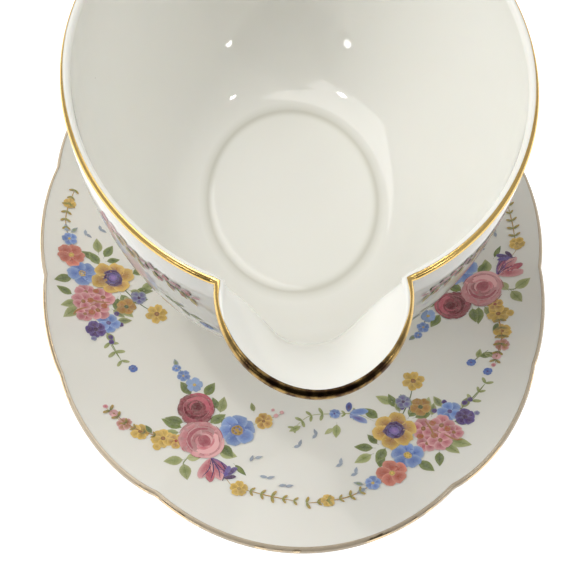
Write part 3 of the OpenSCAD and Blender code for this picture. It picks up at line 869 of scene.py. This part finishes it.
class Transfer:
    """A flat sheet of printed flowers, in millimetres, painted from the back to the front."""

    def __init__(self, seed):
        self.hand = np.random.default_rng(seed)
        self.points, self.colours, self.layers, self.faces = [], [], [], []
        self.layer = 0

    def patch(self, middle, outline, inner, outer):
        """A petal or leaf: rings of the same outline round a middle, shaded outwards."""
        start, count = len(self.points), len(outline)
        middle, outline = np.array(middle), np.array(outline)
        inner, outer = np.array(inner), np.array(outer)
        self.points.append(middle)
        self.colours.append(inner)
        for share in PETAL_RINGS:
            tone = inner + (outer - inner) * share**1.5
            if share == 1.0:  # the print thins out at a petal's rim
                tone = tone * RIM_PRINT + np.array(BARE) * (1 - RIM_PRINT)
            self.points += list(middle + (outline - middle) * share)
            self.colours += [np.clip(tone * self.hand.uniform(0.94, 1.06), 0, 1)] * count
        self.layers += [self.layer] * (1 + len(PETAL_RINGS) * count)
        for k in range(count):
            a, b = start + 1 + k, start + 1 + (k + 1) % count
            self.faces += [(start, a, b)]
            self.faces += [(a + m, a + m + count, b + m + count, b + m) for m in (0, count)]
        self.layer += 1

    def petal(self, root, angle, length, width, inner, outer, notch=0.0, blunt=0.6):
        """One petal growing from its root; notch dents its tip, blunt fills its shoulders."""
        t = np.linspace(0, 2 * np.pi, 15)[:-1]
        along = length * (1 - np.cos(t)) / 2
        side = width / 2 * np.sin(t) * (np.maximum(0, 1 - np.cos(t)) / 2) ** (0.5 * (1 - blunt))
        along -= length * notch * np.exp(-(((t - np.pi) / 0.5) ** 2))
        along *= 1 + self.hand.uniform(-0.05, 0.05, len(t))
        c, s = np.cos(angle), np.sin(angle)
        outline = np.stack([root[0] + along * c - side * s, root[1] + along * s + side * c], -1)
        middle = (root[0] + 0.45 * length * c, root[1] + 0.45 * length * s)
        self.patch(middle, outline, inner, outer)

    def dot(self, place, radius, inner, outer):
        t = np.linspace(0, 2 * np.pi, 11)[:-1]
        r = radius * self.hand.uniform(0.85, 1.1, len(t))
        outline = np.stack([place[0] + r * np.cos(t), place[1] + r * np.sin(t)], -1)
        self.patch(place, outline, inner, outer)

    def bloom(
        self, place, radius, petals, inner, outer, heart, heart_radius, turn=0.0, wide=1.25, ring=None
    ):
        """An open flower: petals round a heart, with stamens dotted round it."""
        radius *= 1.12
        self.dot(place, radius * 0.6, np.array(inner) * 0.7, inner)
        for k in range(petals):
            angle = turn + 2 * np.pi * k / petals + self.hand.uniform(-0.1, 0.1)
            long = radius * self.hand.uniform(0.9, 1.06)
            width = wide * 2 * np.pi * radius * 0.62 / petals
            shade = self.hand.uniform(0.82, 1.1)
            tones = np.array(inner) * shade, np.array(outer) * shade
            self.petal(place, angle, long, width, *tones, 0.08, 0.8)
            crease = [np.array(place) + share * long * heading(angle) for share in (0.3, 0.72)]
            self.stroke(crease, 0.045 * radius, np.array(inner) * 0.7)
        if ring is not None:
            self.dot(place, heart_radius * 1.3, ring, ring)
        self.dot(place, heart_radius, heart, np.array(heart) * 0.75)
        for k in range(6):
            spot = np.array(place) + 0.62 * heart_radius * heading(turn + np.pi * k / 3)
            self.dot(spot, heart_radius * 0.2, np.array(heart) * 0.5, np.array(heart) * 0.5)

    def rose(self, place, radius, dark, middle, light, turn=0.0):
        """A full rose: three rows of cupped petals round a deep, off-centre heart."""
        place = np.array(place)
        radius *= 1.06
        self.dot(place, radius * 0.93, dark, middle)
        rows = ((6, 0.0, 1.0, light, middle), (5, 0.5, 0.76, middle, light), (4, 0.2, 0.52, dark, middle))
        heart = place + radius * 0.16 * heading(turn)
        for row, (count, offset, size, inner, outer) in enumerate(rows):
            centre = place + (heart - place) * row / 2
            for k in range(count):
                angle = turn + 2 * np.pi * (k + offset) / count + self.hand.uniform(-0.12, 0.12)
                way = heading(angle)
                root = centre + way * radius * size * 0.22
                shade = self.hand.uniform(0.82, 1.15) * (1.22 if np.cos(angle - turn) > 0 else 0.82)
                length = radius * size * 0.74 * self.hand.uniform(0.94, 1.05)
                width = radius * size * 1.02 * self.hand.uniform(0.9, 1.05)
                tones = np.array(inner) * shade, np.array(outer) * shade
                self.petal(root, angle, length, width, *tones, 0.05, 1.0)
                across = width * 0.34 * np.array([-way[1], way[0]])
                rim = [root + way * length * 0.9 + s * across for s in (-1, 0, 1)]
                rim[1] = rim[1] + way * length * 0.07
                self.stroke(rim, 0.04 * radius, np.array(dark) * 0.9)
        self.dot(heart, radius * 0.30, np.array(dark) * 0.7, dark)
        dark, light = np.array(dark), np.array(light)
        folds = (
            (1.9, 4.5, 0.62, 0.16, dark * 0.85),
            (-1.5, 1.1, 0.56, 0.26, light * 1.16),
            (-1.1, 0.8, 0.84, 0.14, light * 1.1),
            (0.2, 2.4, 0.34, 0.10, light),
            (3.0, 5.2, 0.30, 0.12, middle),
        )
        for first, last, out, thick, shade in folds:
            ways = heading(turn + np.linspace(first, last, 5)).T
            fold = heart * 0.7 + place * 0.3 + ways * radius * out
            self.stroke(fold, thick * radius, np.clip(shade, 0, 1))

    def leaf(self, place, angle, length, width, inner, outer):
        """A pointed leaf with a dark midrib, from its stalk."""
        place, length, width = np.array(place), 1.15 * length, 1.2 * width
        way = heading(angle)
        side = np.array([-way[1], way[0]])
        t = np.linspace(0, 1, 7)
        bulge = np.sin(np.pi * t**0.8) * width / 2
        up = [place + way * length * s + side * b for s, b in zip(t, bulge)]
        down = [place + way * length * s - side * b for s, b in zip(t[5:0:-1], bulge[5:0:-1])]
        shade = self.hand.uniform(0.85, 1.15)
        tones = np.array(inner) * shade, np.array(outer) * shade
        self.patch(place + way * length * 0.45, (up + down)[::-1], *tones)
        midrib = [place - way * 0.15 * length, place + way * 0.85 * length]
        self.stroke(midrib, 0.05 * width + 0.05, np.array(inner) * 0.55)

    def stroke(self, line, width, colour):
        """A thin brushed line through points, tapering to both ends."""
        line = np.array(line, float)
        if len(line) > 2:
            line = curved(line)
        way = np.gradient(line, axis=0)
        way /= np.maximum(1e-9, np.linalg.norm(way, axis=1, keepdims=True))
        side = np.stack([-way[:, 1], way[:, 0]], -1)
        half = width / 2 * (0.35 + 0.65 * np.sin(np.pi * np.linspace(0, 1, len(line))))[:, None]
        start, count = len(self.points), len(line)
        self.points += list(line + side * half) + list(line - side * half)
        self.colours += [np.array(colour)] * (2 * count)
        self.layers += [self.layer] * (2 * count)
        for k in range(count - 1):
            self.faces.append((start + k, start + count + k, start + count + k + 1, start + k + 1))
        self.layer += 1

    def vine(self, line, leaf_length, stalk, inner, outer):
        """A thin stem with pairs of small leaves, set on by the vine tree."""
        self.stroke(line, 0.22, stalk)
        stem = curved(np.array(line, float)) if len(line) > 2 else line
        seed = int(self.hand.integers(1000))
        points, faces, tips = grown_leaves(stem, BLADE_GAP * leaf_length, leaf_length, BLADE_WIDTH, seed)
        start, inner, outer = len(self.points), np.array(inner), np.array(outer)
        self.points += points
        self.colours += [inner + (outer - inner) * t for t in tips]
        self.layers += [self.layer + (k // (BLADE_EDGE + 1)) % 2 for k in range(len(points))]
        self.faces += [tuple(start + v for v in f) for f in faces]
        self.layer += 2

    def piece(self, name, laid):
        """The sheet as an object, each point laid where the given function puts it."""
        plan = np.array(self.points)
        lift = TRANSFER_LIFT + LAYER_LIFT * np.array(self.layers) / max(1, self.layer / 60)
        place = laid(plan, lift)
        mesh = bpy.data.meshes.new(name)
        mesh.from_pydata([tuple(p) for p in place * MM], [], self.faces)
        mesh.polygons.foreach_set("use_smooth", [True] * len(mesh.polygons))
        colour = np.concatenate([np.clip(self.colours, 0, 1), np.ones((len(plan), 1))], axis=1)
        enamel = mesh.color_attributes.new("enamel", "FLOAT_COLOR", "POINT")
        enamel.data.foreach_set("color", colour.ravel())
        mesh.materials.append(ENAMEL)
        made = bpy.data.objects.new(name, mesh)
        bpy.context.scene.collection.objects.link(made)
        return made


def spray_of_roses(seed):
    """A wine and a blush rose with a blue anemone, a tulip, florets and trailing sprigs."""
    t = Transfer(seed)
    t.stroke([(-28.5, -52), (-31, -49), (-34.6, -45)], 0.3, MOSS)
    t.stroke([(-33, -70), (-40, -68), (-46, -66), (-52, -60.8)], 0.3, OCHRE)
    t.stroke([(-13, -64), (-9, -62.4), (-4.8, -60.4)], 0.25, PALE_LEAF)
    trail = [(-14, -84.5), (-10.2, -85.7), (-6.7, -86.6), (-3.0, -87.5)]
    t.stroke([(-22, -77), (-18.5, -83)] + trail, 0.24, OCHRE)
    t.leaf((-21.8, -60.2), 1.35, 4.6, 2.4, LEAF, PALE_LEAF)
    t.leaf((-22.6, -59.0), 1.9, 3.4, 1.8, MOSS, LEAF)
    t.leaf((-32.0, -65.5), 2.7, 5.2, 2.5, MOSS, LEAF)
    t.leaf((-32.6, -67.0), 3.3, 4.2, 2.0, LEAF, PALE_LEAF)
    t.leaf((-22.0, -72.6), -0.3, 4.4, 2.6, LEAF, PALE_LEAF)
    t.leaf((-17.8, -76.6), -0.85, 3.8, 1.3, LEAF, MOSS)
    t.stroke([(-29.3, -74), (-31.0, -76.4), (-31.0, -78.5)], 0.3, LEAF)
    t.leaf((-31.2, -75.6), 3.3, 4.4, 2.5, LEAF, PALE_LEAF)
    t.leaf((-30.4, -75.0), 0.2, 3.6, 2.1, PALE_LEAF, PALE_LEAF)
    t.leaf((-31.0, -76.8), -1.35, 4.4, 2.6, LEAF, PALE_LEAF)
    t.leaf((-33.8, -45.6), 1.9, 2.4, 1.2, LEAF, MIST)
    t.leaf((-12.6, -59.8), 1.8, 2.6, 1.2, LEAF, PALE_LEAF)
    for x, y, angle in (
        (-24.4, -63.6, 0.6), (-31.6, -63.8, 2.9), (-21.8, -62.4, -0.4),
        (-21.4, -70.4, -0.9), (-29.8, -54.6, 2.2), (-26.0, -54.8, 1.0),
    ):
        t.leaf((x, y), angle, 4.4, 2.4, MOSS, LEAF)
    t.bloom((-34.0, -46.2), 1.2, 4, CORNFLOWER, SKY, SUN, 0.25, 0.3)
    t.bloom((-32.0, -48.6), 1.8, 5, CORNFLOWER, SKY, SUN, 0.35, 0.9)
    t.bloom((-28.9, -51.4), 2.2, 5, SKY, SKY, SUN, 0.5, 0.2)
    t.bloom((-46.8, -65.6), 2.0, 5, RUST, BLUSH, RUST, 0.4, 0.6)
    t.bloom((-49.6, -62.6), 1.2, 4, BLUSH, BLUSH, RUST, 0.3, 0.1)
    t.dot((-51.9, -60.6), 0.7, ROSE, BLUSH)
    t.bloom((-42.6, -67.6), 2.4, 5, OCHRE, SUN, RUST, 0.5, 0.0)
    t.leaf((-39.6, -67.8), 2.2, 2.6, 1.2, MOSS, LEAF)
    t.bloom((-36.6, -69.2), 3.0, 6, OCHRE, SUN, RUST, 0.7, 0.4)
    t.bloom((-33.2, -69.8), 2.3, 5, RUST, SUN, BRICK, 0.5, 0.9)
    t.dot((-38.0, -72.0), 1.1, OCHRE, SUN)
    t.bloom((-10.0, -62.9), 2.5, 5, RUST, SUN, RUST, 0.5, 0.5)
    t.dot((-6.6, -61.2), 0.7, BLUSH, BLUSH)
    t.dot((-5.0, -60.2), 0.6, BLUSH, BLUSH)
    t.dot((-7.4, -59.4), 0.5, BLUSH, BLUSH)
    for angle, shade in ((-2.0, BLUSH), (-1.6, ROSE), (-1.2, BLUSH), (-0.8, VIOLET)):
        t.petal((-24.0, -74.6), angle, 7.4, 3.0, ROSE, shade)
    for tip_point in ((-26.2, -80.6), (-24.0, -81.4), (-21.6, -80.8), (-19.6, -79.4)):
        t.stroke([(-24.0, -74.8), ((-24.0 + tip_point[0]) / 2 + 0.7, -78.0), tip_point], 0.32, PLUM)
    t.stroke([(-21.6, -75.6), (-20.2, -78.4), (-21.0, -81.6)], 0.45, PLUM)
    t.petal((-20.6, -80.4), 0.75, 4.6, 1.7, PLUM, VIOLET)
    t.petal((-20.4, -80.6), 1.25, 4.0, 1.5, VIOLET, VIOLET)
    t.petal((-20.8, -80.8), 0.2, 3.4, 1.3, PLUM, PLUM)
    t.bloom((-17.2, -65.8), 4.9, 6, CORNFLOWER, SKY, OCHRE, 1.7, 0.25, 1.4, CORNFLOWER)
    t.rose((-28.3, -59.4), 5.0, WINE, (0.27, 0.05, 0.07), ROSE, 1.2)
    t.rose((-26.6, -69.0), 5.9, ROSE, (0.60, 0.25, 0.27), BLUSH, -0.6)
    for x, y, angle in (
        (-13.8, -75.6, 1.2), (-12.6, -74.6, 0.3), (-11.4, -80.0, -0.2),
        (-9.6, -80.8, 0.3), (-6.6, -83.0, 0.1), (-4.9, -83.3, 0.2),
    ):
        t.leaf((x, y), angle, 1.9, 0.75, MIST, MIST)
    t.bloom((-16.8, -83.9), 2.2, 5, OCHRE, SUN, OCHRE, 0.5, 0.3)
    t.vine(trail, 1.9, OCHRE, LEAF, OCHRE)
    t.vine([(-38.6, -68.6), (-44.6, -66.4), (-50.6, -61.8)], 1.8, RUST, MOSS, OCHRE)
    return t


def spray_of_pansies(seed):
    """A yellow pansy, pink stocks and blue and brick-red florets on leafy stems."""
    t = Transfer(seed)
    t.stroke([(31.9, -52), (30.5, -57), (28, -62), (25.5, -66)], 0.35, MOSS)
    t.stroke([(36, -66), (44, -62), (47.5, -58.7), (51, -55.2)], 0.28, LEAF)
    t.stroke([(20, -64), (15.5, -61.4), (9.5, -61), (2.7, -61.4), (-1.8, -65)], 0.24, PALE_LEAF)
    trail = [(0.2, -88.3), (5.7, -87.9), (10.6, -87.0), (14, -85.6)]
    t.stroke([(23, -80), (17.6, -83.4)] + trail[::-1], 0.24, OCHRE)
    for place, angle, size in (
        ((25.6, -58.6), 2.6, 4.6), ((26.2, -60.0), 1.9, 4.2), ((30.4, -60.2), 2.1, 4.4),
        ((33.6, -62.4), 1.2, 4.6),
        ((37.0, -72.8), -0.8, 4.6), ((38.4, -72.0), -0.4, 5.4), ((35.6, -75.4), -1.7, 4.0),
        ((18.8, -72.4), 3.0, 4.4), ((18.2, -74.4), 3.6, 4.6), ((20.6, -73.8), -1.7, 4.4),
        ((20.0, -71.2), 2.2, 3.4),
    ):
        inner, outer = LEAF if size > 4.4 else MOSS, PALE_LEAF if size > 4.5 else LEAF
        t.leaf(place, angle, size, size * 0.5, inner, outer)
    for x, y, angle in (
        (29.4, -63.4, 0.9), (31.0, -63.8, 0.3), (22.0, -72.8, -2.2), (30.0, -77.6, -0.8),
        (37.6, -64.4, 0.8), (41.0, -66.4, 0.0), (21.0, -63.0, 2.4),
    ):
        t.leaf((x, y), angle, 4.4, 2.4, MOSS, LEAF)
    t.vine([(46.4, -60.4), (48.6, -58.0), (50.8, -55.4)], 2.4, LEAF, LEAF, PALE_LEAF)
    t.bloom((52.0, -51.6), 1.2, 4, CORNFLOWER, CORNFLOWER, VIOLET, 0.3, 0.2)
    t.leaf((0.0, -64.6), 3.6, 3.2, 1.4, LEAF, PALE_LEAF)
    t.vine([(15.5, -61.4), (9.5, -61), (2.7, -61.4), (-1.8, -65)], 2.0, PALE_LEAF, LEAF, PALE_LEAF)
    t.leaf((9.8, -64.4), -1.7, 3.8, 2.0, LEAF, PALE_LEAF)
    t.leaf((8.6, -65.6), 3.8, 2.6, 1.2, PALE_LEAF, PALE_LEAF)
    for x, y, angle in (
        (3.0, -68.6, 0.9), (4.2, -67.6, 1.9), (-2.2, -71.2, 0.3), (-0.8, -70.8, 1.2),
        (8.6, -77.6, 0.5), (9.8, -77.0, 1.4), (12.2, -80.6, 0.4), (13.4, -80.0, 1.3),
    ):
        t.leaf((x, y), angle, 1.9, 0.8, MIST, MIST)
    t.bloom((31.9, -51.8), 3.2, 6, OCHRE, SUN, RUST, 0.8, 0.2, 1.1)
    for x, y, angle in (
        (27.0, -61.6, 1.6), (29.6, -62.2, 0.9), (35.4, -63.6, 1.3), (38.4, -61.2, 2.0), (43.6, -62.2, 0.9),
    ):
        t.leaf((x, y), angle, 3.6, 1.8, MOSS, PALE_LEAF)
        t.dot((x + 0.9, y + 1.4), 0.8, PLUM, VIOLET)
    t.bloom((28.4, -58.4), 2.2, 5, VIOLET, MIST, PLUM, 0.5, 0.4)
    t.bloom((32.8, -60.6), 2.8, 5, RUST, OCHRE, MOSS, 0.7, 0.8)
    t.petal((13.6, -62.6), 0.9, 3.4, 2.2, VIOLET, CORNFLOWER)
    t.petal((13.6, -61.0), 0.1, 5.0, 2.4, CORNFLOWER, SKY)
    t.petal((13.4, -61.6), -0.5, 5.4, 2.2, VIOLET, SKY)
    t.petal((13.2, -60.6), 1.4, 3.0, 2.0, PLUM, CORNFLOWER)
    t.bloom((9.4, -61.0), 1.5, 4, CORNFLOWER, SKY, VIOLET, 0.3, 0.4)
    t.bloom((40.2, -63.0), 3.2, 5, CORNFLOWER, SKY, VIOLET, 0.7, 0.6, 1.2)
    t.bloom((43.8, -65.3), 2.7, 5, PLUM, VIOLET, PLUM, 0.7, 0.2, 1.3)
    t.dot((47.0, -64.6), 0.8, VIOLET, MIST)
    t.dot((46.0, -60.0), 0.8, PLUM, VIOLET)
    pinks = (
        (32.6, -67.6, 3.3, 0.4), (37.4, -67.2, 3.2, 1.2), (40.2, -69.8, 2.5, 0.8),
        (33.0, -72.4, 2.8, 0.1), (36.4, -71.8, 3.0, 2.0),
    )
    for x, y, r, turn in pinks:
        t.bloom((x, y), r, 5, ROSE, BLUSH, RUST, r * 0.22, turn, 1.3)
    for x, y in ((35.2, -66.2), (38.8, -68.4), (35.0, -70.2), (31.4, -70.0)):
        t.dot((x, y), 0.95, BRICK, RUST)
    for line in (
        [(33.4, -65.2), (34.6, -68.2), (35.0, -71)],
        [(37.6, -70), (40, -72), (42, -72.4)],
        [(34.8, -68), (37, -69.6)],
    ):
        t.stroke(line, 0.55, RUST)
    t.bloom((27.4, -75.6), 4.0, 5, CORNFLOWER, SKY, SUN, 1.1, 0.3, 1.3, CORNFLOWER)
    t.bloom((22.8, -80.6), 3.8, 5, BRICK, (0.72, 0.27, 0.20), SUN, 0.8, 0.5, 1.25)
    t.bloom((17.6, -83.2), 2.1, 5, CORNFLOWER, SKY, SUN, 0.45, 0.2)
    t.leaf((15.6, -84.6), 3.7, 2.6, 1.1, MIST, MIST)
    t.leaf((15.2, -83.6), 2.8, 2.4, 1.0, LEAF, MIST)
    t.bloom((24.9, -67.5), 5.7, 6, RUST, SUN, VIOLET, 2.3, 0.15, 1.25, PLUM)
    t.dot((24.9, -67.5), 1.3, (0.30, 0.18, 0.48), VIOLET)
    t.bloom((5.7, -87.8), 1.8, 5, OCHRE, SUN, MOSS, 0.4, 0.6)
    t.vine(trail, 1.8, OCHRE, LEAF, OCHRE)
    return t


def small_sprig(seed):
    """A lone blue bud over two leaves, which fills a gap between two sprays."""
    t = Transfer(seed)
    t.stroke([(-49.8, -45.2), (-48.2, -47.6), (-46.6, -50.4)], 0.26, MOSS)
    t.leaf((-48.6, -47.2), -0.4, 2.8, 1.4, LEAF, PALE_LEAF)
    t.leaf((-48.2, -47.8), -1.5, 3.6, 1.7, MOSS, LEAF)
    t.leaf((-47.4, -49.2), -2.3, 2.4, 1.1, LEAF, PALE_LEAF)
    t.bloom((-49.7, -45.2), 1.2, 4, CORNFLOWER, CORNFLOWER, VIOLET, 0.3, 0.2)
    return t


def on_plate(turn, shift):
    """Lays a sheet on the plate, turned about the plate's middle and slid along it."""
    c, s = np.cos(np.radians(turn)), np.sin(np.radians(turn))

    def laid(plan, lift):
        x = c * plan[:, 0] - s * plan[:, 1] + shift[0]
        y = s * plan[:, 0] + c * plan[:, 1] + shift[1]
        return np.stack([x, y, plate_height_at(x, y) + lift], -1)

    return laid


def about(turn, start, end):
    """The slide that carries a point to its new place after a turn."""
    c, s = np.cos(np.radians(turn)), np.sin(np.radians(turn))
    return (end[0] - c * start[0] + s * start[1], end[1] - s * start[0] - c * start[1])


sprays = (
    ("spray_of_roses_front", spray_of_roses, 11, 0, (0, 0)),
    ("spray_of_roses_right", spray_of_roses, 12, 105.8, (-18.6, -16.4)),
    ("spray_of_roses_back", spray_of_roses, 13, -109.2, about(-109.2, (-27, -65), (-28, 66))),
    ("spray_of_pansies_front", spray_of_pansies, 21, 0, (0, 0)),
    ("spray_of_pansies_left", spray_of_pansies, 22, -106.7, (18.65, -12.3)),
    ("spray_of_pansies_back", spray_of_pansies, 23, 109.2, about(109.2, (29, -67), (29, 67))),
    ("sprig_front_right", small_sprig, 33, 92, about(92, (-48.5, -47), (50, -46.6))),
    ("sprig_back_left", small_sprig, 34, -88, about(-88, (-48.5, -47), (-50, 46.6))),
)
for name, painter, seed, turn, shift in sprays:
    settle(painter(seed).piece("plate_" + name, on_plate(turn, shift)), "underplate", "flower_print")

# ======== Flower transfers on the boat ========
# The same sprays on both flanks of the bowl, with a trail of mauve buds that runs
# forward under the rim and a sprig of leaves below it.


def on_boat(middle, angle, share, turn):
    """Wraps a sheet round the bowl's outside, its middle at an angle and a height share."""
    here = np.array([angle]), np.array([share])
    step = 0.01
    across = np.linalg.norm(outside(here[0] + step, here[1]) - outside(here[0] - step, here[1])) / 2 / step
    upward = np.linalg.norm(outside(here[0], here[1] + step) - outside(here[0], here[1] - step)) / 2 / step
    c, s = np.cos(turn), np.sin(turn)

    def laid(plan, lift):
        x, y = (plan - np.array(middle)).T
        along, up = c * x - s * y, s * x + c * y
        a = angle + along / across
        u = np.clip(share + up / upward, 0.02, 0.985)
        return outside(a, u) + outward(a, u) * (lift[:, None] + 0.02)

    return laid


def mauve_trail(seed):
    """Stocks in mauve and ochre on a stem that runs forward under the rim."""
    t = Transfer(seed)
    stem = [(-14, 1.6), (-10.6, 1.4), (-6.6, 0.6), (-2.4, 0.2)]
    stem += [(2.6, 0.8), (7.0, 0.4), (10.6, 0.2), (13.4, -0.6)]
    t.vine(stem, 2.2, RUST, MOSS, LEAF)
    mauve = (0.30, 0.10, 0.16)
    shades = (ROSE, BLUSH, OCHRE, OCHRE, mauve, ROSE, mauve, ROSE)
    for k, ((x, y), shade) in enumerate(zip(stem, shades)):
        for rise, size in ((0.9, 1.0), (-1.3, 0.85)):
            radius = (1.5 - 0.11 * k) * size
            inner = np.array(shade) * 0.75
            t.bloom((x + 0.8 * rise, y + rise), radius, 4, inner, shade, RUST, 0.3, 0.4 * k, 1.1)
        t.leaf((x + 1.0, y - 0.6), -0.9, 2.8, 1.2, LEAF, OCHRE)
        t.petal((x + 1.6, y + 0.4), 0.3, 2.6, 0.9, mauve, BLUSH)
    return t


def leafy_sprig(seed):
    """An olive stem with small leaves that ends in a blue bud."""
    t = Transfer(seed)
    t.stroke([(-6, 2.2), (-2, 1.0), (2, -0.6), (6.4, -3.4)], 0.45, MOSS)
    for place, angle in (((-4.6, 1.8), -0.2), ((-2, 1.2), 0.4), ((0.6, 0.2), -1.2), ((2.4, -0.8), 0.2)):
        t.leaf(place, angle, 3.4, 1.4, MOSS, LEAF)
    t.bloom((6.8, -3.8), 1.9, 5, CORNFLOWER, SKY, VIOLET, 0.5, 0.3)
    return t


def handed(sheet, sense):
    """The sheet as drawn on the left flank, and its mirror image on the right one."""
    if sense > 0:
        sheet.points = [p * [-1, 1] for p in sheet.points]
        sheet.faces = [f[::-1] for f in sheet.faces]
    return sheet


for side, sense in (("left", -1), ("right", 1)):
    main = spray_of_roses(50 + sense) if sense < 0 else spray_of_pansies(50 + sense)
    middle = (-26, -66) if sense < 0 else (29, -67)
    laid = on_boat(middle, np.radians(78) * sense, 0.46, 0.15 * sense)
    settle(main.piece(f"boat_spray_{side}", laid), "boat", "flower_print")
    laid = on_boat((0, 0), np.radians(40) * sense, 0.85, 0.0)
    trail = handed(mauve_trail(60 + sense), sense)
    settle(trail.piece(f"boat_trail_{side}", laid), "boat", "flower_print")
    spot = (np.radians(-31.5), 0.64) if sense < 0 else (np.radians(29), 0.60)
    sprig = handed(leafy_sprig(70 + sense), sense)
    settle(sprig.piece(f"boat_sprig_{side}", on_boat((0, 0), *spot, 0.0)), "boat", "flower_print")
